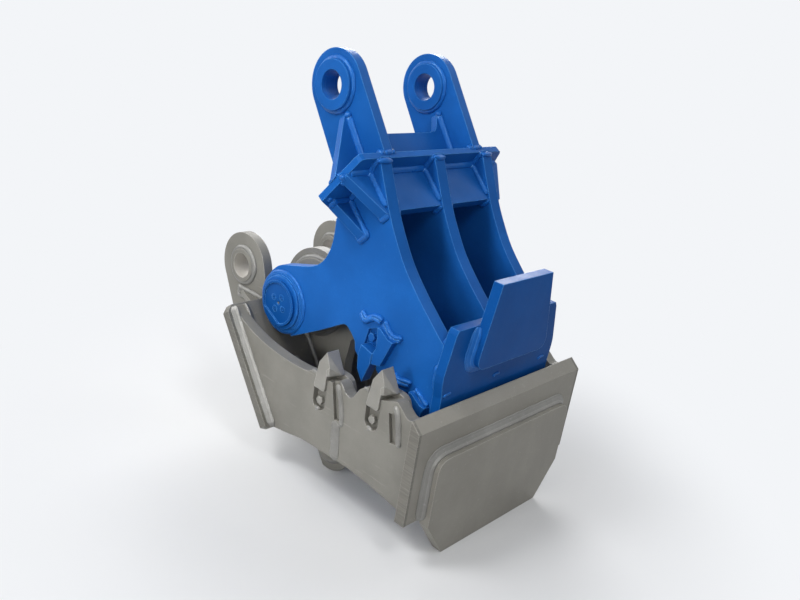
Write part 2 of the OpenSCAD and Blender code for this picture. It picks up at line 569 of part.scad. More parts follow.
module cap_bolts() color(upper_blue) pair() at_cap_bolts() difference() {
  union() {
    disc([0, 0], cap_bolt_d, cap_in - 2 * cap_t, cap_in + cap_t);
    disc([0, 0], cap_bolt_head_d, cap_in + cap_t - cap_recess, cap_in + cap_t - cap_recess + cap_bolt_head_h);
  }
  translate([0, cap_in + cap_t + over, 0]) rotate([90, 0, 0]) cylinder(d = cap_bolt_d * 0.7, h = cap_recess + over, $fn = 6);
}
module grease_fittings() color(tooth_grey) pair() translate([hinge[0], cap_in, hinge[1]]) rotate([-90, 0, 0])
  rotate_extrude() polygon([[0, 0], [grease_d * 0.4, 0], [grease_d * 0.4, cap_t * 0.7], [grease_d * 0.2, cap_t * 0.8], [grease_d * 0.3, cap_t * 0.95], [0, cap_t * 1.1]]);

// Teeth of the upper jaw
module at_upper_teeth() for (k = [0, 1])
  translate([k * upper_step_shares[0] * reach, 0, k * upper_step_shares[1] * reach]) children();
// The tooth, whose outer face leans back towards its tip, and the raised seat beside it
module upper_tooth() {
  ledge = upper_tooth_shares[0] * reach;
  difference() {
    side_slab(side_out - upper_slot_d, side_out + upper_tooth_out, upper_tooth_shares);
    translate([ledge[0], side_out + upper_tooth_out, ledge[1]]) rotate([upper_face_lean, 0, 0]) translate([-big / 2, 0, -big]) cube([big, big, big + over]);
  }
  side_slab(side_out, side_out + upper_seat_t, upper_seat_shares);
}
module upper_teeth() color(upper_blue) pair() at_upper_teeth() upper_tooth();
module upper_tooth_bolts() color(upper_blue) pair() at_upper_teeth()
  hex_bolt(upper_bolt_shares * reach, side_out - upper_slot_d, side_t - upper_slot_d, bolt_head_d, bolt_head_h, bolt_d);

rear_plate();
side_wall_left();
side_wall_right();
front_plate();
lower_wear_pad();
stick_ear_left();
stick_ear_right();
stick_bosses();
ear_gussets();
hinge_lug_left();
hinge_lug_right();
hinge_hub();
hinge_bushes();
thrust_washers();
arm_lug_left();
arm_lug_right();
arm_bosses();
tooth_blocks();
lower_teeth();
lower_tooth_bolts();
side_plate_left();
side_plate_right();
middle_plate();
cross_plate();
link_ear_left();
link_ear_right();
link_bosses();
back_plate();
back_wings();
corner_bars();
bay_braces();
wing_braces_front();
wing_braces_rear();
upper_front_plate();
upper_wear_pad();
rear_cover();
under_plate();
closing_stops();
inner_bosses();
outer_rings();
hinge_pin();
pin_caps();
cap_bolts();
grease_fittings();
upper_teeth();
upper_tooth_bolts();
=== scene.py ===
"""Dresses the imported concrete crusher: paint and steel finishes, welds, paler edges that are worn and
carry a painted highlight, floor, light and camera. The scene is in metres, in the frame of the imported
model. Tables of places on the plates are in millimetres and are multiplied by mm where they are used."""
import json
import math

import bmesh
import bpy
from mathutils import Matrix, Vector, noise
from mathutils.bvhtree import BVHTree


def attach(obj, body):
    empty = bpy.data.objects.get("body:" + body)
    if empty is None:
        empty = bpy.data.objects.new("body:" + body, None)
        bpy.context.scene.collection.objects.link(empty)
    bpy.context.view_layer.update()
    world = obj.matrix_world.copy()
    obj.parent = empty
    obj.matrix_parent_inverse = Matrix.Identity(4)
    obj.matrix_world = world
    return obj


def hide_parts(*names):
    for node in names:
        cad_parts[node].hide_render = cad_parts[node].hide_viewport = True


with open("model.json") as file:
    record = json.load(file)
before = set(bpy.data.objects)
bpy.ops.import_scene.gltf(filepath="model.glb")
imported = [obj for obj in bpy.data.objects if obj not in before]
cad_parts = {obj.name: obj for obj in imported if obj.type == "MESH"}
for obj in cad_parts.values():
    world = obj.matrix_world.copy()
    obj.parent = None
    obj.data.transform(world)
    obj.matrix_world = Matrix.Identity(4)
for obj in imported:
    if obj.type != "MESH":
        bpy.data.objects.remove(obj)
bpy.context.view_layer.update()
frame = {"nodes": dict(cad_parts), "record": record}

mm = 0.001
nodes = frame["nodes"]
UPPER = "upper_jaw"
LOWER = "lower_jaw"
SIDES = (-1, 1)

# Axes of the hinge and of the two pins that hold the crusher, as (x, z), and those pins' radius
HINGE = (241.0, -34.0)
STICK = (0.0, 0.0)
LINK = (322.0, 632.0)
PIN_R = 40.0 * mm
# Half the width across the upper jaw's side plates
SIDE_OUT = 236.0
# Both faces of a link ear, from the middle of the crusher
EAR_IN = 172.0
EAR_OUT = 204.0
# From the first tooth station to each of the two
TOOTH_STEPS = ((0.0, 0.0), (203.0, 38.0))
FLOOR_Z = -0.497


# Shader nodes

class Wire:
    """A shader socket that takes arithmetic. Each operator adds one Math node."""

    def __init__(self, pot, socket):
        self.pot = pot
        self.socket = socket

    def reckon(self, work, one, two, clamp=False):
        settings = {"operation": work, "use_clamp": clamp}
        return self.pot.node("ShaderNodeMath", settings, {0: one, 1: two})

    def __add__(self, other):
        return self.reckon("ADD", self, other)

    __radd__ = __add__

    def __sub__(self, other):
        return self.reckon("SUBTRACT", self, other)

    def __rsub__(self, other):
        return self.reckon("SUBTRACT", other, self)

    def __mul__(self, other):
        return self.reckon("MULTIPLY", self, other)

    __rmul__ = __mul__

    def kept(self):
        """The same value, held between 0 and 1."""
        return self.reckon("ADD", self, 0.0, clamp=True)

    def ramp(self, low, high):
        """0 below low, 1 above high and smooth between them."""
        return self.pot.node("ShaderNodeMapRange", {"interpolation_type": "SMOOTHSTEP"},
                             {"Value": self, "From Min": low, "From Max": high})


class Pot:
    """One material or world with its nodes."""

    def __init__(self, owner):
        self.owner = owner
        owner.use_nodes = True
        self.tree = owner.node_tree
        self.tree.nodes.clear()

    def node(self, kind, settings=None, sockets=None, out=0):
        """Adds a node of that kind, with its settings first, and gives its output."""
        made = self.tree.nodes.new(kind)
        for key, value in (settings or {}).items():
            setattr(made, key, value)
        for key, value in (sockets or {}).items():
            if isinstance(value, Wire):
                self.tree.links.new(value.socket, made.inputs[key])
            else:
                made.inputs[key].default_value = value
        return Wire(self, made.outputs[out] if len(made.outputs) else None)

    def vector(self, work, one, two=(0.0, 0.0, 0.0), out="Vector"):
        return self.node("ShaderNodeVectorMath", {"operation": work}, {0: one, 1: two}, out)

    def place(self):
        """The place on the object, in metres."""
        return self.node("ShaderNodeTexCoord", out="Object")

    def squeezed(self, sizes):
        """The place on the object, multiplied by a size for each axis."""
        return self.vector("MULTIPLY", self.place(), sizes)

    def away_from(self, point, sizes=(1.0, 1.0, 1.0)):
        """How far the squeezed place is from a point."""
        return self.vector("LENGTH", self.vector("SUBTRACT", self.squeezed(sizes), point), out="Value")

    def cloud(self, scale, detail=3.0, rough=0.55, sizes=(1.0, 1.0, 1.0)):
        """Noise from 0 to 1."""
        return self.node("ShaderNodeTexNoise", None,
                         {"Vector": self.squeezed(sizes), "Scale": scale, "Detail": detail,
                          "Roughness": rough})

    def blend(self, share, one, two):
        """Colour one where share is 0 and colour two where it is 1."""
        return self.node("ShaderNodeMix", {"data_type": "RGBA"}, {0: share, 6: one, 7: two}, out=2)

    def rounded(self, radius):
        """The face direction as if each edge had that radius."""
        return self.node("ShaderNodeBevel", {"samples": 4}, {"Radius": radius})

    def edges(self, rounded):
        """1 on an edge and 0 on a flat face."""
        flat = self.node("ShaderNodeNewGeometry", out="Normal")
        same = self.vector("DOT_PRODUCT", rounded, flat, out="Value")
        return (1.0 - same).ramp(0.02, 0.22)

    def bore(self, centre):
        """1 inside the pin bore whose axis lies along Y at that (x, z)."""
        axis = (centre[0] * mm, 0.0, centre[1] * mm)
        far = self.away_from(axis, sizes=(1.0, 0.0, 1.0))
        return 1.0 - far.ramp(PIN_R + 0.2 * mm, PIN_R + 1.0 * mm)

    def bump(self, height, strength, depth, normal):
        return self.node("ShaderNodeBump", None,
                         {"Height": height, "Strength": strength, "Distance": depth, "Normal": normal})

    def surface(self, **sockets):
        """Ends a material with its shader. A socket's name has _ for each space."""
        named = {key.replace("_", " "): value for key, value in sockets.items()}
        shader = self.node("ShaderNodeBsdfPrincipled", None, named)
        self.node("ShaderNodeOutputMaterial", None, {"Surface": shader})
        return self.owner


def srgb(red, green, blue):
    """A colour as a screen shows it, from 0 to 255, as the shader takes it."""
    def linear(v):
        v /= 255.0
        return v / 12.92 if v <= 0.04045 else ((v + 0.055) / 1.055) ** 2.4
    return (linear(red), linear(green), linear(blue), 1.0)


# Finishes of the crusher

# Radii that the edges of plates and of machined parts look rounded to
PLATE_EDGE = 3.5 * mm
TURNED_EDGE = 0.8 * mm
# Depths of the relief in a coat and of tool lines
COAT_RELIEF = 1.0 * mm
TOOL_LINES = 0.4 * mm
# The blue coat's gloss takes on its colour
BLUE_GLEAM = (0.42, 0.74, 1.0, 1.0)
# Bare steel shows at the sawn ends of the plates that stand out past the walls. These are the
# squared distances from the middle, in square metres, where it starts and where it is full.
SAWN_FROM = 0.1270
SAWN_FULL = 0.1300
SAWN_STEEL = srgb(82, 80, 74)
BORE_STEEL = srgb(188, 184, 177)


def sprayed_paint(name, colour, deep, edge, gloss=0.32, shine=0.10):
    """Enamel sprayed over rolled plate: a slight orange peel, paler on the edges as worn paint and as painted
    highlight, dull in patches.
    """
    pot = Pot(bpy.data.materials.new(name))
    rounded = pot.rounded(PLATE_EDGE)
    patches = pot.cloud(5.0, 4.0).ramp(0.30, 0.72)
    specks = pot.cloud(90.0, 5.0, 0.7).ramp(0.60, 0.74)
    # Paler edges: worn paint, and a painted highlight where rounded edges would catch the light.
    edge_wear_and_highlight = pot.edges(rounded) * (0.5 + pot.cloud(40.0, 4.0, 0.65))
    edge_wear_and_highlight = (edge_wear_and_highlight * (1.0 - pot.bore(LINK))).kept()
    sand = pot.cloud(260.0, 3.0, 0.7).ramp(0.35, 0.65)
    shade = pot.blend(patches * 0.75, deep, colour)
    shade = pot.blend(sand * 0.30, shade, deep)
    shade = pot.blend(specks * 0.10, shade, edge)
    shade = pot.blend(edge_wear_and_highlight * 0.95, shade, edge)
    peel = pot.cloud(420.0, 2.0) * 0.5 + pot.cloud(60.0, 3.0) * 1.0 + pot.cloud(14.0, 2.0) * 2.0
    return pot.surface(Base_Color=shade,
                       Specular_IOR_Level=shine,
                       Specular_Tint=BLUE_GLEAM,
                       Roughness=gloss + pot.cloud(22.0, 3.0) * 0.16 - edge_wear_and_highlight * 0.06,
                       Normal=pot.bump(peel, 0.18, COAT_RELIEF, rounded))


def blasted_steel(name, colour, deep, pale, rust, gloss=0.5, metal=0.15):
    """Primed plate with mill scale in patches, handling scratches, a breath of rust in scattered spots,
    saw lines on the ends that stand out, and a bright stick bore."""
    pot = Pot(bpy.data.materials.new(name))
    rounded = pot.rounded(PLATE_EDGE)
    patches = pot.cloud(6.0, 6.0, 0.62).ramp(0.32, 0.70)
    streaks = pot.cloud(14.0, 5.0, 0.6, (1.0, 1.0, 0.22)).ramp(0.40, 0.78)
    scratches = pot.cloud(120.0, 3.0, 0.7, (0.06, 0.5, 1.0)).ramp(0.62, 0.70)
    stain = (pot.cloud(9.0, 6.0, 0.7).ramp(0.56, 0.80) * pot.cloud(70.0, 4.0, 0.7).ramp(0.42, 0.70)).kept()
    # Paler, more metallic edges: worn steel, and a painted highlight along the rims.
    edge_wear_and_highlight = (pot.edges(rounded) * (0.5 + pot.cloud(35.0, 4.0, 0.65))).kept()
    sand = pot.cloud(280.0, 3.0, 0.7).ramp(0.35, 0.65)
    across = pot.node("ShaderNodeSeparateXYZ", None, {0: pot.place()}, out="Y")
    sawn = (across * across).ramp(SAWN_FROM, SAWN_FULL)
    saw_lines = pot.cloud(34.0, 5.0, 0.75, (0.15, 1.0, 9.0)).ramp(0.38, 0.62)
    shade = pot.blend(patches * 0.8, deep, colour)
    shade = pot.blend(streaks * 0.07, shade, pale)
    shade = pot.blend(sand * 0.22, shade, deep)
    shade = pot.blend(stain * 0.30, shade, rust)
    shade = pot.blend(sawn * (0.35 + saw_lines * 0.30), shade, SAWN_STEEL)
    shade = pot.blend(scratches * 0.20, shade, pale)
    shade = pot.blend(edge_wear_and_highlight * 0.75, shade, pale)
    shade = pot.blend(pot.bore(STICK) * 0.8, shade, BORE_STEEL)
    grain = pot.cloud(500.0, 3.0) * 0.6 + pot.cloud(80.0, 4.0) * 1.0 + pot.cloud(12.0, 3.0) * 2.4
    return pot.surface(Base_Color=shade,
                       Metallic=metal + edge_wear_and_highlight * 0.3,
                       Roughness=gloss + patches * 0.12 - edge_wear_and_highlight * 0.12,
                       Normal=pot.bump(grain, 0.22, COAT_RELIEF, rounded))


def turned_metal(name, colour, tint, gloss, metal):
    """Machined metal with fine tool lines."""
    pot = Pot(bpy.data.materials.new(name))
    rounded = pot.rounded(TURNED_EDGE)
    lines = pot.cloud(900.0, 2.0, 0.5, (1.0, 0.08, 1.0))
    smear = pot.cloud(18.0, 4.0)
    shade = pot.blend(smear.ramp(0.35, 0.7) * 0.6, colour, tint)
    return pot.surface(Base_Color=shade,
                       Metallic=metal,
                       Roughness=gloss + lines * 0.15,
                       Normal=pot.bump(lines, 0.12, TOOL_LINES, rounded))


# The third colour of each blue is its edges' colour: worn paint and painted highlight.
blue = sprayed_paint("upper_blue_paint", srgb(29, 100, 182), srgb(21, 83, 156), srgb(92, 164, 234))
# A darker copy of the blue: painted shade on the front plate, the wear pad, the pin caps and their screws.
blue_in_painted_shade = sprayed_paint("upper_blue_in_painted_shade", srgb(14, 84, 160), srgb(10, 71, 140),
                           srgb(84, 156, 230), 0.32, 0.12)
blue_weld = sprayed_paint("upper_blue_weld", srgb(30, 104, 188), srgb(22, 88, 166),
                          srgb(112, 176, 240), 0.22, 0.4)
# The pale colour of each grey also paints its edges: worn steel and painted highlight.
grey = blasted_steel("lower_plate_grey", srgb(136, 134, 127), srgb(119, 117, 110),
                     srgb(176, 173, 166), srgb(128, 108, 86))
front_grey = blasted_steel("lower_front_grey", srgb(150, 147, 139), srgb(134, 131, 123),
                           srgb(186, 183, 175), srgb(136, 116, 94), 0.48)
grey_weld = blasted_steel("lower_weld_grey", srgb(147, 146, 142), srgb(124, 123, 119),
                          srgb(196, 195, 191), srgb(120, 106, 90), 0.36, 0.30)
tooth = blasted_steel("tooth_steel", srgb(158, 156, 150), srgb(138, 136, 130),
                      srgb(200, 198, 192), srgb(126, 108, 88), 0.42, 0.3)
bronze = turned_metal("bush_bronze", srgb(176, 134, 72), srgb(150, 108, 58), 0.34, 0.9)
bright = turned_metal("pin_steel", srgb(160, 160, 158), srgb(128, 128, 126), 0.30, 0.9)
plated = turned_metal("plated_steel", srgb(150, 152, 150), srgb(120, 122, 120), 0.35, 0.8)

# The record's material slots
FINISHES = {"grey_paint": grey, "blue_paint": blue, "tooth_steel": tooth,
            "bush_bronze": bronze, "pin_steel": bright, "plated_steel": plated}
# The lower wear plates are paler than the rest. The upper ones and the pin caps take a darker copy of the
# blue, which is painted shade.
NODE_FINISHES = {"front_plate": front_grey, "lower_wear_pad": front_grey,
                 "upper_front_plate": blue_in_painted_shade, "upper_wear_pad": blue_in_painted_shade, "pin_caps": blue_in_painted_shade}
WELD_FINISHES = {UPPER: (blue_weld, "blue_paint"), LOWER: (grey_weld, "grey_paint")}


def paint_nodes():
    """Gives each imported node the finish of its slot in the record, or its own."""
    for row in frame["record"]["subparts"]:
        node = nodes[row["node"]]
        if not node.material_slots:
            node.data.materials.append(None)
        for place in node.material_slots:
            place.material = NODE_FINISHES.get(row["node"], FINISHES[row["material_slot"]])


# Pieces

def finish_piece(name, bm, body, finish, slot, flat=False):
    """Turns the mesh into a piece that rides on a body."""
    bmesh.ops.recalc_face_normals(bm, faces=bm.faces)
    data = bpy.data.meshes.new(name)
    bm.to_mesh(data)
    bm.free()
    piece = bpy.data.objects.new(name, data)
    bpy.context.scene.collection.objects.link(piece)
    if not flat:
        data.shade_smooth()
    data.materials.append(finish)
    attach(piece, body)
    return piece


def weld_metal(name, bm, body):
    """Turns the mesh into a piece with the finish of the body's welds."""
    return finish_piece(name, bm, body, *WELD_FINISHES[body])


def skin(bm, rings, closed=False):
    """Faces from each ring to the next, and over both ends of an open row of rings."""
    joins = list(zip(rings, rings[1:]))
    if closed:
        joins.append((rings[-1], rings[0]))
    for one, two in joins:
        for k in range(len(one)):
            j = (k + 1) % len(one)
            bm.faces.new((one[k], one[j], two[j], two[k]))
    if not closed:
        bm.faces.new(rings[0])
        bm.faces.new(rings[-1][::-1])


def hull(bm, corners):
    """A solid block with those corners."""
    bmesh.ops.convex_hull(bm, input=[bm.verts.new(corner) for corner in corners])


# Welds on the seams

# From one ripple to the next, and from one section to the next
PITCH = 6.0 * mm
STEP = 1.5 * mm
# One round of a weld's section: shares of the leg along the carrying plate and up the standing one
SECTION = ((-0.15, -0.15), (1.0, -0.1), (0.88, 0.30), (0.63, 0.63), (0.30, 0.88), (-0.1, 1.0))
# How much a ripple swells the weld's crown, and in millimetres how far it lags and leans there
RIPPLE = 0.055
RIPPLE_LAG = 1.5
CROWN_LEAN = 0.8
# An edge holds no weld where its faces meet flatter than this cosine, or where it is this short
FLAT_COSINE = 0.94
LEAST_EDGE = 0.2 * mm
LEAST_WELD = 8 * mm
# How closely the carrying face has to lie under the seam
FIT = 0.3 * mm
# A weld turns round a corner over this many sections on each side
TURN_SPAN = 3


def joined_mesh(name):
    """The node's mesh with its split corners joined."""
    bm = bmesh.new()
    bm.from_mesh(nodes[name].data)
    bmesh.ops.remove_doubles(bm, verts=bm.verts, dist=0.01 * mm)
    bm.normal_update()
    return bm


def tree_of(name):
    """The node's mesh as a tree that rays can hit."""
    bm = joined_mesh(name)
    tree = BVHTree.FromBMesh(bm)
    bm.free()
    return tree


trees = {}


def ways(edge, foot, side):
    """From an edge of the standing plate, the way out on the carrying one and the way up its side."""
    start = edge.verts[0].co
    along = (edge.verts[1].co - start).normalized()
    out = along.cross(foot.normal)
    if out.dot(foot.calc_center_median() - start) > 0:
        out = -out
    up = along.cross(side.normal)
    if up.dot(side.calc_center_median() - start) < 0:
        up = -up
    return out, up


def carrier(tree, out, down, out_leg):
    """A test of whether the carrying plate lies under a point of the seam."""
    shift = out * out_leg * 0.75 - down * mm

    def carried(point):
        hit, normal, _, far = tree.ray_cast(point + shift, down, 2 * mm)
        return hit is not None and normal.dot(down) < -0.9 and abs(far - mm) < FIT
    return carried


def seams(stands, on, out_leg):
    """Each line where one plate stands on another, as runs of (point, way out, way up)."""
    if on not in trees:
        trees[on] = tree_of(on)
    bm = joined_mesh(stands)
    marked = {}
    for edge in bm.edges:
        if len(edge.link_faces) != 2 or edge.calc_length() < LEAST_EDGE:
            continue
        one, two = edge.link_faces
        first, last = edge.verts[0].co, edge.verts[1].co
        for foot, side in ((one, two), (two, one)):
            if foot.normal.dot(side.normal) > FLAT_COSINE:
                continue
            out, up = ways(edge, foot, side)
            carried = carrier(trees[on], out, foot.normal.copy(), out_leg)
            if any(carried(first.lerp(last, k / 8)) for k in (1, 3, 4, 5, 7)):
                marked[edge] = (out, up, carried)
    runs = [run for chain in chains(marked) for run in walk(chain, marked)]
    bm.free()
    return runs


def chains(marked):
    """The marked edges in order, as lists of (edge, first corner)."""
    at = {}
    for edge in marked:
        for v in edge.verts:
            at.setdefault(v, []).append(edge)
    left = set(marked)
    order = sorted(marked, key=lambda e: e.index)
    starts = [(v, e) for e in order for v in e.verts if len(at[v]) == 1]
    made = []
    for v, edge in starts + [(e.verts[0], e) for e in order]:
        if edge not in left:
            continue
        chain = []
        while edge is not None:
            left.discard(edge)
            chain.append((edge, v))
            v = edge.other_vert(v)
            edge = next((e for e in at[v] if e in left), None)
        made.append(chain)
    return made


def walk(chain, marked):
    """Samples of a chain, split where the carrying plate ends."""
    samples = []
    for edge, first in chain:
        out, up, carried = marked[edge]
        a, b = first.co, edge.other_vert(first).co
        n = max(1, round((b - a).length / STEP))
        for k in range(n):
            p = a.lerp(b, (k + 0.5) / n)
            samples.append((p, out, up) if carried(p) else None)
    closed = chain[0][1] is chain[-1][0].other_vert(chain[-1][1]) and None not in samples
    runs = []
    run = []
    for sample in samples + [None]:
        if sample is not None:
            run.append(sample)
        elif run:
            runs.append(run)
            run = []
    return [(softened(run, closed), closed) for run in runs if len(run) * STEP > LEAST_WELD]


def softened(run, closed):
    """The run with its directions turned smoothly round its corners."""
    n = len(run)
    made = []
    for i in range(n):
        around = range(i - TURN_SPAN, i + TURN_SPAN + 1)
        near = [run[k % n] if closed else run[min(max(k, 0), n - 1)] for k in around]
        out = sum((q[1] for q in near), Vector()).normalized()
        up = sum((q[2] for q in near), Vector()).normalized()
        made.append((run[i][0], out, up))
    return made


def lay_weld(bm, run, closed, out_leg, up_leg, waver=0.10):
    """A rippled fillet weld along a run, thinner towards open ends. Waver is how uneven it is."""
    n = len(run)
    far = 0.0
    rings = []
    for i, (p, out, up) in enumerate(run):
        if i:
            far += (p - run[i - 1][0]).length
        ahead = run[(i + 1) % n if closed else min(i + 1, n - 1)][0]
        behind = run[i - 1 if i or closed else 0][0]
        along = (ahead - behind).normalized()
        end = 1.0 if closed else min(1.0, (min(i, n - 1 - i) + 1) * STEP / max(out_leg, up_leg))
        size = (0.35 + 0.65 * math.sqrt(end)) * (1 + waver * noise.noise(p * 45.0))
        ring = []
        for k, (u, v) in enumerate(SECTION):
            crown = 1.0 - abs(k - 3) / 2.0 if k else -1.0
            wave = abs(math.sin(math.pi * (far - crown * RIPPLE_LAG * mm) / PITCH))
            q = p + (out * u * out_leg + up * v * up_leg) * size * (1 + RIPPLE * wave * max(crown, 0.0))
            ring.append(bm.verts.new(q + along * max(crown, 0.0) * CROWN_LEAN * mm))
        rings.append(ring)
    skin(bm, rings, closed)


def weld_piece(name, body, pairs, waver=0.12):
    """One piece with every weld of the pairs (standing node, carrying node, passes as leg out and leg up)."""
    bm = bmesh.new()
    for stands, on, *passes in pairs:
        for run, closed in seams(stands, on, max(out for out, up in passes) * mm):
            for out_leg, up_leg in passes:
                lay_weld(bm, run, closed, out_leg * mm, up_leg * mm, waver)
    weld_metal(name, bm, body)


def both(stem, on, *legs):
    """The left and the right plate of that name stand on another."""
    return [(f"{stem}_{side}", on, *legs) for side in ("left", "right")]


def onto(stands, stem, *legs):
    """A plate stands on the left and on the right plate of that name."""
    return [(stands, f"{stem}_{side}", *legs) for side in ("left", "right")]


# Legs of the common welds: out along the carrying plate and up the standing one
THICK = (13, 12)
PLAIN = (11, 11)
SMALL = (9, 9)


def weld_lower_jaw():
    """Every seam of the grey jaw. A last number after the pairs is how uneven the welds are."""
    weld_piece("rear_plate_welds", LOWER,
               both("side_wall", "rear_plate", (19, 6), (13, 10), (7, 15))
               + both("stick_ear", "rear_plate", THICK)
               + both("hinge_lug", "rear_plate", THICK)
               + both("arm_lug", "rear_plate", THICK), 0.16)
    weld_piece("front_plate_welds", LOWER, both("side_wall", "front_plate", THICK))
    weld_piece("lower_pad_welds", LOWER,
               [("lower_wear_pad", "front_plate", (24, 6), (17, 11), (9, 17))], 0.08)
    weld_piece("stick_boss_welds", LOWER, onto("stick_bosses", "stick_ear", (13, 8)), 0.20)
    weld_piece("gusset_welds", LOWER,
               onto("ear_gussets", "stick_ear", (12, 10)) + [("ear_gussets", "rear_plate", PLAIN)], 0.30)
    weld_piece("arm_boss_welds", LOWER, onto("arm_bosses", "arm_lug", (11, 8)), 0.18)
    weld_piece("hub_welds", LOWER, onto("hinge_hub", "hinge_lug", (12, 9)), 0.18)
    weld_piece("tooth_block_welds", LOWER, onto("tooth_blocks", "side_wall", SMALL))


def weld_upper_jaw():
    """Every seam of the blue jaw."""
    weld_piece("link_ear_welds", UPPER,
               both("link_ear", "cross_plate", PLAIN)
               + [("back_plate", "cross_plate", PLAIN), ("back_wings", "cross_plate", PLAIN)])
    weld_piece("link_boss_welds", UPPER, onto("link_bosses", "link_ear", (10, 8)), 0.22)
    weld_piece("cross_plate_welds", UPPER,
               both("side_plate", "cross_plate", PLAIN)
               + [("middle_plate", "cross_plate", PLAIN), ("rear_cover", "cross_plate", SMALL)])
    weld_piece("brace_welds", UPPER,
               onto("bay_braces", "side_plate", PLAIN)
               + [("bay_braces", "middle_plate", PLAIN), ("bay_braces", "cross_plate", (12, 12))]
               + onto("wing_braces_front", "side_plate", PLAIN)
               + onto("wing_braces_rear", "side_plate", PLAIN)
               + [("wing_braces_front", "cross_plate", PLAIN), ("wing_braces_rear", "cross_plate", PLAIN)],
               0.07)
    weld_piece("upper_front_welds", UPPER,
               both("side_plate", "upper_front_plate", (13, 13))
               + [("middle_plate", "upper_front_plate", PLAIN),
                  ("under_plate", "upper_front_plate", SMALL)], 0.2)
    weld_piece("upper_pad_welds", UPPER,
               [("upper_wear_pad", "upper_front_plate", (23, 5), (16, 10), (8, 16))], 0.10)
    weld_piece("hinge_ring_welds", UPPER,
               onto("outer_rings", "side_plate", (9, 7)) + onto("inner_bosses", "side_plate", SMALL), 0.22)
    weld_piece("inner_plate_welds", UPPER,
               onto("under_plate", "side_plate", SMALL)
               + onto("rear_cover", "side_plate", SMALL)
               + [("middle_plate", "under_plate", SMALL), ("middle_plate", "rear_cover", SMALL),
                  ("closing_stops", "under_plate", (8, 8))])


# Loose beads and knobs of weld, in the plates' own frames

def plate_frame(foot, lean):
    """Places in the frame of a plate whose foot is at (x, z) and which leans back by that many degrees."""
    c, s = math.cos(math.radians(lean)), math.sin(math.radians(lean))

    def place(x, y, z):
        return Vector((foot[0] + c * x - s * z, y, foot[1] + s * x + c * z)) * mm
    return place


on_cross = plate_frame((534.0, 497.0), -122.3)
on_back = plate_frame((489.0, 426.0), 37.2)


def spline(points, step, parts=24):
    """Even samples of a smooth line through the points. Each stretch is first cut into parts."""
    ends = [points[0] * 2 - points[1]] + list(points) + [points[-1] * 2 - points[-2]]
    fine = []
    for a, b, c, d in zip(ends, ends[1:], ends[2:], ends[3:]):
        for k in range(parts):
            t = k / parts
            fine.append((b * 2 + (c - a) * t + (a * 2 - b * 5 + c * 4 - d) * t * t
                         + (b * 3 - a - c * 3 + d) * t ** 3) / 2)
    fine.append(points[-1].copy())
    made = [fine[0]]
    due = step
    for a, b in zip(fine, fine[1:]):
        length = (b - a).length
        while length and due <= length:
            made.append(a.lerp(b, due / length))
            due += step
        due -= length
    return made


def lay_rod(bm, points, radius, up, height=1.0, waver=0.12, ripple=0.07, sides=12):
    """A bead with round ends that lies along a line on a face. Up is the face's direction, and
    height is the bead's as a share of its radius."""
    line = spline(points, STEP)
    n = len(line)
    rings = []
    for i, p in enumerate(line):
        along = (line[min(i + 1, n - 1)] - line[max(i - 1, 0)]).normalized()
        across = along.cross(up).normalized()
        rise = across.cross(along)
        end = min(1.0, (min(i, n - 1 - i) + 0.5) * STEP / radius)
        size = radius * math.sqrt(1 - (1 - end) ** 2) * (1 + waver * noise.noise(p * 55.0))
        size *= 1 + ripple * (abs(math.sin(math.pi * i * STEP / PITCH)) - 0.5)
        ring = []
        for k in range(sides):
            a = 2 * math.pi * k / sides
            q = p + across * math.cos(a) * size + rise * math.sin(a) * size * height
            q += rise * noise.noise(q * 90.0) * 0.10 * size
            ring.append(bm.verts.new(q + along * max(math.sin(a), 0.0) * 1.2 * mm))
        rings.append(ring)
    skin(bm, rings)


def knob(bm, at, sizes, rough=0.18):
    """A lump of weld metal with that half size on each axis."""
    made = bmesh.ops.create_icosphere(bm, subdivisions=3, radius=1.0)
    for v in made["verts"]:
        broad = rough * noise.noise(v.co * 1.7 + at * 60.0)
        fine = rough * 0.5 * noise.noise(v.co * 4.0 + at * 90.0)
        swell = 1 + broad + fine
        v.co = at + Vector((v.co.x * sizes[0], v.co.y * sizes[1], v.co.z * sizes[2])) * mm * swell


def side_line(points, y):
    """A line of (x, z) on a face that looks sideways."""
    return [Vector((x, y, z)) * mm for x, z in points]


# Lines (x, z) of the ridges that guard the upper teeth
RIDGES = (((566, 58), (578, 47), (592, 44), (618, 60), (646, 58)),
          ((655, 60), (668, 46), (680, 34), (698, 30), (724, 35)),
          ((716, -70), (733, -79), (754, -76), (778, -72)),
          ((795, -80), (818, -93), (832, -103), (846, -109)))
# The two passes of a ridge: shift along x and z, radius and height
RIDGE_PASSES = ((0, 0, 8.0, 1.1), (6, 10, 7.0, 1.2))


def lay_ridges():
    """Hard ridges that guard the upper teeth: two passes side by side on each side plate."""
    bm = bmesh.new()
    for side in SIDES:
        up = Vector((0.0, side, 0.0))
        for points in RIDGES:
            for dx, dz, radius, height in RIDGE_PASSES:
                line = side_line([(x + dx, z + dz) for x, z in points], side * (SIDE_OUT + 1))
                lay_rod(bm, line, radius * mm, up, height, 0.25, 0.12)
    weld_metal("tooth_guard_ridges", bm, UPPER)


# Legs of the ears' corner beads, the heights up the back plate of their sections, and of their top
CORNER_LEG = 14 * mm
CORNER_HEIGHTS = [1.5 * k - 6 for k in range(118)]
CORNER_TOP = 170


def lay_corner_beads():
    """Heavy round fillets between the back plate and both faces of each link ear."""
    bm = bmesh.new()
    ahead = (on_back(1, 0, 0) - on_back(0, 0, 0)).normalized()
    for side in SIDES:
        for face, out in ((EAR_IN, -side), (EAR_OUT, side)):
            away = Vector((0.0, out, 0.0))
            run = [(on_back(0, side * face, height), away, ahead) for height in CORNER_HEIGHTS]
            lay_weld(bm, run, False, CORNER_LEG, CORNER_LEG, 0.06)
            knob(bm, on_back(5, side * face + out * 5, CORNER_TOP), (10, 9, 9), 0.2)
    piece = weld_metal("ear_corner_beads", bm, UPPER)
    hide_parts("corner_bars")


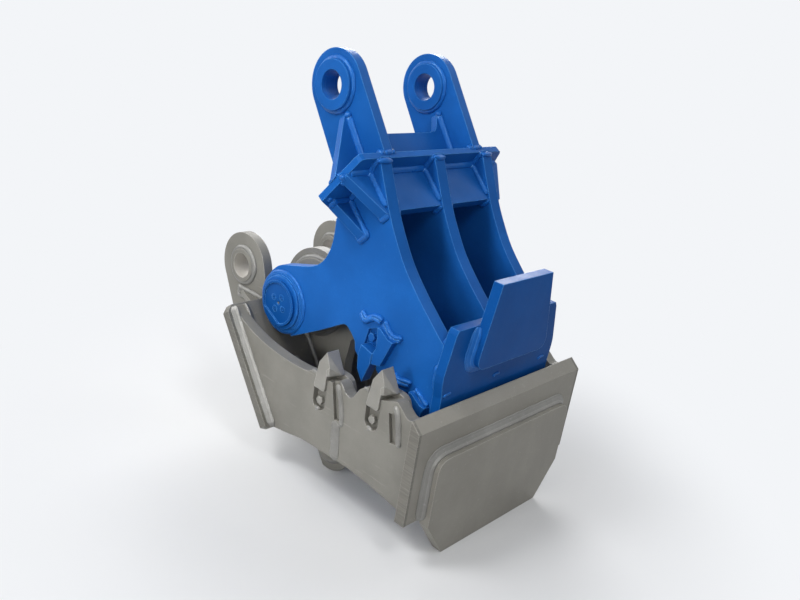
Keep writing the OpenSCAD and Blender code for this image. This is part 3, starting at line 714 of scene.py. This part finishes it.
def set_knobs():
    """Wrapped weld ends at the corners of the cross plate, the plates under it and the ears on it."""
    bm = bmesh.new()
    for y, half in ((-216, 25), (0, 25), (216, 25)):
        knob(bm, Vector((557, y, 481)) * mm, (10, half, 8), 0.22)
    for side in SIDES:
        for y in (167, 209):
            knob(bm, on_cross(5, side * y, -3), (12, 9, 9), 0.25)
        knob(bm, on_cross(150, side * 316, 15), (11, 10, 9), 0.2)
        knob(bm, on_cross(68, side * 318, 17), (10, 9, 8), 0.2)
    for y in (-188, 188):
        line = [on_cross(1, y + along, 1) for along in (-14, 0, 14)]
        lay_rod(bm, line, 8 * mm, Vector((0.0, 0.0, 1.0)), 1.0, 0.2)
    weld_metal("weld_knobs", bm, UPPER)


# Screws and grease nipples

def turned(bm, centre, side, profile, steps=32):
    """A round shape about an axis along Y. The profile is (radius, distance out)."""
    rings = []
    for radius, out in profile:
        ring = []
        for k in range(steps):
            a = 2 * math.pi * k / steps
            corner = (centre[0] + radius * math.cos(a), side * out, centre[1] + radius * math.sin(a))
            ring.append(bm.verts.new(Vector(corner) * mm))
        rings.append(ring)
    for one, two in zip(rings, rings[1:]):
        for k in range(steps):
            j = (k + 1) % steps
            face = (one[k], one[j], two[j], two[k])
            bm.faces.new(face if side > 0 else face[::-1])
    bm.faces.new(rings[-1] if side < 0 else rings[-1][::-1])


# The pin cap's outer face, from the middle, and the circle of its screws
CAP_FACE = 257.0
SCREW_CIRCLE = 25.3
SCREW_ANGLES = (60, 150, 240, 330)
# Profiles (radius, distance out from the cap's face)
SCREW = ((11.0, -0.2), (11.0, 0.7), (10.2, 0.9), (9.6, 0.7), (9.4, 0.15), (9.0, 0.15), (8.8, 0.6),
         (3.4, 1.0), (2.9, 0.8), (2.7, -4.0))
NIPPLE = ((3.4, -9.0), (3.4, -3.0), (1.9, -2.4), (1.9, -1.6), (2.8, -1.0), (2.5, 0.2), (1.0, 0.8))


def set_cap_screws():
    """Flush screws with socket heads in both pin caps, and the sunk grease nipple between them."""
    screws = bmesh.new()
    nipples = bmesh.new()
    for side in SIDES:
        for angle in SCREW_ANGLES:
            a = math.radians(angle)
            centre = (HINGE[0] + SCREW_CIRCLE * math.cos(a), HINGE[1] + SCREW_CIRCLE * math.sin(a))
            turned(screws, centre, side, [(r, CAP_FACE + out) for r, out in SCREW])
        turned(nipples, HINGE, side, [(r, CAP_FACE + out) for r, out in NIPPLE])
    # The screws take the darker copy of the blue, painted shade, as the caps do.
    heads = finish_piece("cap_screws", screws, UPPER, blue_in_painted_shade, "blue_paint")
    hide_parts("cap_bolts")
    nipple = finish_piece("grease_nipples", nipples, UPPER, plated, "plated_steel")
    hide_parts("grease_fittings")


# Small forms on the front plate and the side walls

def lay_tacks():
    """Short tack welds on the upper jaw's front plate."""
    bm = bmesh.new()
    ahead = Vector((1.0, 0.0, 0.0))
    for y, z in ((-222, -52), (-13, -45), (203, -44)):
        line = [Vector((895, y + dy, z + dz)) * mm for dy, dz in ((-13, -3), (-10, 3), (0, 5), (12, 6))]
        lay_rod(bm, line, 4.5 * mm, ahead, 0.9, 0.25)
    weld_metal("tack_welds", bm, UPPER)


# Corners (x, z) of a tooth's shoulder at its outer and its inner end (y)
SHOULDER = ((347.0, ((572, -90), (583, -79.5), (585, -105), (574, -107))),
            (307.0, ((572, -90), (601, -101.5), (597, -106.5), (574, -107.5))))


def set_tooth_shoulders():
    """The lower teeth's forged shoulders, which rest on the wall beside the pocket."""
    bm = bmesh.new()
    for side in SIDES:
        for dx, dz in TOOTH_STEPS:
            hull(bm, [Vector((x + dx, side * y, z + dz)) * mm for y, points in SHOULDER for x, z in points])
    finish_piece("tooth_shoulders", bm, LOWER, tooth, "tooth_steel", True)


# Foot (x, z) and height of the grooves beside the lower teeth, and how far they lean back
GROOVES = (((620.0, -224.0), 110.0), ((829.0, -189.0), 82.0))
GROOVE_LEAN = 14


def line_grooves():
    """Weld metal that nearly fills the grooves beside the lower teeth."""
    bm = bmesh.new()
    for side in SIDES:
        for foot, rise in GROOVES:
            in_groove = plate_frame(foot, GROOVE_LEAN)
            hull(bm, [in_groove(x, side * y, z)
                      for x in (0.3, 26.0) for y in (322.0, 330.0) for z in (0.3, rise)])
    finish_piece("groove_linings", bm, LOWER, grey, "grey_paint", True)


# Beads on the side wall: line (x, z), place across, radius, height, waver and ripple
WALL_BEADS = (
    (((615, -116), (628, -138), (641, -175), (647, -204), (649, -230)), 338.5, 9.5, 0.75, 0.10, 0.05),
    (((826, -80), (840, -98), (852, -140), (860, -186)), 339, 10.0, 0.75, 0.10, 0.05),
    (((624, -226), (630, -250), (635, -300), (639, -343)), 339.5, 18.0, 0.20, 0.05, 0.02))
# At the first tooth's pocket: the fillet at its mouth and the blob of weld at its foot
POCKET_MOUTH = ((508, -122), (522, -119), (528, -126))
POCKET_FOOT = (545, -225)
POCKET_Y = 336


def lay_wall_beads():
    """Ground seams down the side walls beside the pockets, and weld at the pockets' mouths and feet."""
    bm = bmesh.new()
    for side in SIDES:
        up = Vector((0.0, side, 0.0))
        for points, y, radius, height, waver, ripple in WALL_BEADS:
            lay_rod(bm, side_line(points, side * y), radius * mm, up, height, waver, ripple)
        for dx, dz in TOOTH_STEPS:
            mouth = [(x + dx, z + dz) for x, z in POCKET_MOUTH]
            lay_rod(bm, side_line(mouth, side * POCKET_Y), 5.5 * mm, up, 1.0, 0.2)
            foot = Vector((POCKET_FOOT[0] + dx, side * POCKET_Y, POCKET_FOOT[1] + dz)) * mm
            knob(bm, foot, (12, 5, 7), 0.4)
    weld_metal("wall_seams", bm, LOWER)


# Studio

# The photograph's view: millimetres of lens, where the camera stands and how it is turned
LENS = 37.22
CAMERA_PLACE = (2.01247, -1.785, 0.91797)
CAMERA_TURN = ((0.71609, -0.34864, 0.60470), (0.68196, 0.16476, -0.71259), (0.14881, 0.92266, 0.35574))


def set_camera():
    """The camera that stands where the photograph was taken."""
    data = bpy.data.cameras.new("photo_camera")
    data.lens = LENS
    data.sensor_width = 36.0
    data.clip_start = 0.05
    data.clip_end = 200.0
    camera = bpy.data.objects.new("photo_camera", data)
    bpy.context.scene.collection.objects.link(camera)
    camera.matrix_world = Matrix.Translation(CAMERA_PLACE) @ Matrix(CAMERA_TURN).to_4x4()
    bpy.context.scene.camera = camera


PALE = srgb(243, 245, 248)
FLOOR_COAT = (0.73, 0.735, 0.745, 1.0)
FLOOR_RADIUS = 60.0
# Where the floor's shadow is centred, and how far from there it starts to fade and has gone
SHADOW_CENTRE = (0.45, 0.0, 0.0)
FADE_FROM = 0.6
FADE_END = 1.35


def set_floor():
    """A pale floor that takes the shadow near the part and fades into the background."""
    bm = bmesh.new()
    bmesh.ops.create_circle(bm, cap_ends=True, segments=96, radius=FLOOR_RADIUS)
    data = bpy.data.meshes.new("floor")
    bm.to_mesh(data)
    bm.free()
    floor = bpy.data.objects.new("floor", data)
    floor.location.z = FLOOR_Z - 0.2 * mm
    bpy.context.scene.collection.objects.link(floor)
    pot = Pot(bpy.data.materials.new("pale_floor"))
    far = pot.away_from(SHADOW_CENTRE).ramp(FADE_FROM, FADE_END)
    seen = pot.node("ShaderNodeLightPath", out="Is Camera Ray")
    matt = pot.node("ShaderNodeBsdfDiffuse", None, {"Color": FLOOR_COAT})
    plain = pot.node("ShaderNodeEmission", None, {"Color": PALE, "Strength": 1.0})
    both_looks = pot.node("ShaderNodeMixShader", None, {0: far * seen, 1: matt, 2: plain})
    pot.node("ShaderNodeOutputMaterial", None, {"Surface": both_looks})
    data.materials.append(pot.owner)


SKY = (0.92, 0.96, 1.0, 1.0)
SKY_STRENGTH = 0.19


def set_world():
    """Weak light from all round, and a pale background for the camera and in gloss and glass."""
    world = bpy.data.worlds.new("studio")
    bpy.context.scene.world = world
    pot = Pot(world)
    camera, glossy, through = (pot.node("ShaderNodeLightPath", out=ray) for ray in
                               ("Is Camera Ray", "Is Glossy Ray", "Is Transmission Ray"))
    soft = pot.node("ShaderNodeBackground", None, {"Color": SKY, "Strength": SKY_STRENGTH})
    plain = pot.node("ShaderNodeBackground", None, {"Color": PALE, "Strength": 1.0})
    share = (camera + glossy + through).kept()
    mixed = pot.node("ShaderNodeMixShader", None, {0: share, 1: soft, 2: plain})
    pot.node("ShaderNodeOutputWorld", None, {"Surface": mixed})


# Lamps: name, place, the point it shines at, size, power in watts and spread in degrees
LAMPS = (("key_light", (-0.2, -2.0, 3.1), (0.35, 0.0, 0.1), 0.8, 17.5, 180),
         ("ear_light", (-0.1, -1.6, 1.9), (0.35, 0.0, 0.6), 0.8, 26.0, 180),
         ("fill_light", (1.3, -2.7, 1.1), (0.4, 0.0, -0.1), 1.0, 4.0, 180),
         ("inside_light", (0.7, -2.6, 0.6), (0.45, 0.1, -0.2), 0.6, 1.6, 46),
         ("front_light", (2.1, -0.8, 2.3), (0.6, 0.0, 0.1), 0.8, 19.0, 180),
         ("bay_light", (2.4, -1.3, 0.7), (0.5, 0.0, 0.2), 0.8, 6.0, 180),
         ("top_light", (1.2, 2.2, 2.6), (0.6, 0.0, 0.0), 1.6, 15.0, 180),
         ("rear_left_light", (-2.6, -1.3, 1.1), (0.4, 0.0, -0.2), 1.4, 24.0, 180),
         ("back_light", (-1.8, 2.6, 1.5), (0.4, 0.0, 0.1), 2.2, 120.0, 180))


def set_lamps():
    """Soft round lamps about the crusher."""
    for name, place, aim, size, power, spread in LAMPS:
        lamp = bpy.data.lights.new(name, "AREA")
        lamp.shape = "DISK"
        lamp.size = size
        lamp.energy = power
        lamp.spread = math.radians(spread)
        light = bpy.data.objects.new(name, lamp)
        light.location = place
        light.rotation_mode = "QUATERNION"
        light.rotation_quaternion = (Vector(aim) - Vector(place)).to_track_quat("-Z", "Y")
        bpy.context.scene.collection.objects.link(light)


bpy.context.scene.view_settings.view_transform = "Standard"
paint_nodes()
weld_lower_jaw()
weld_upper_jaw()
lay_ridges()
lay_corner_beads()
set_knobs()
set_cap_screws()
lay_tacks()
set_tooth_shoulders()
line_grooves()
lay_wall_beads()
set_camera()
set_floor()
set_world()
set_lamps()
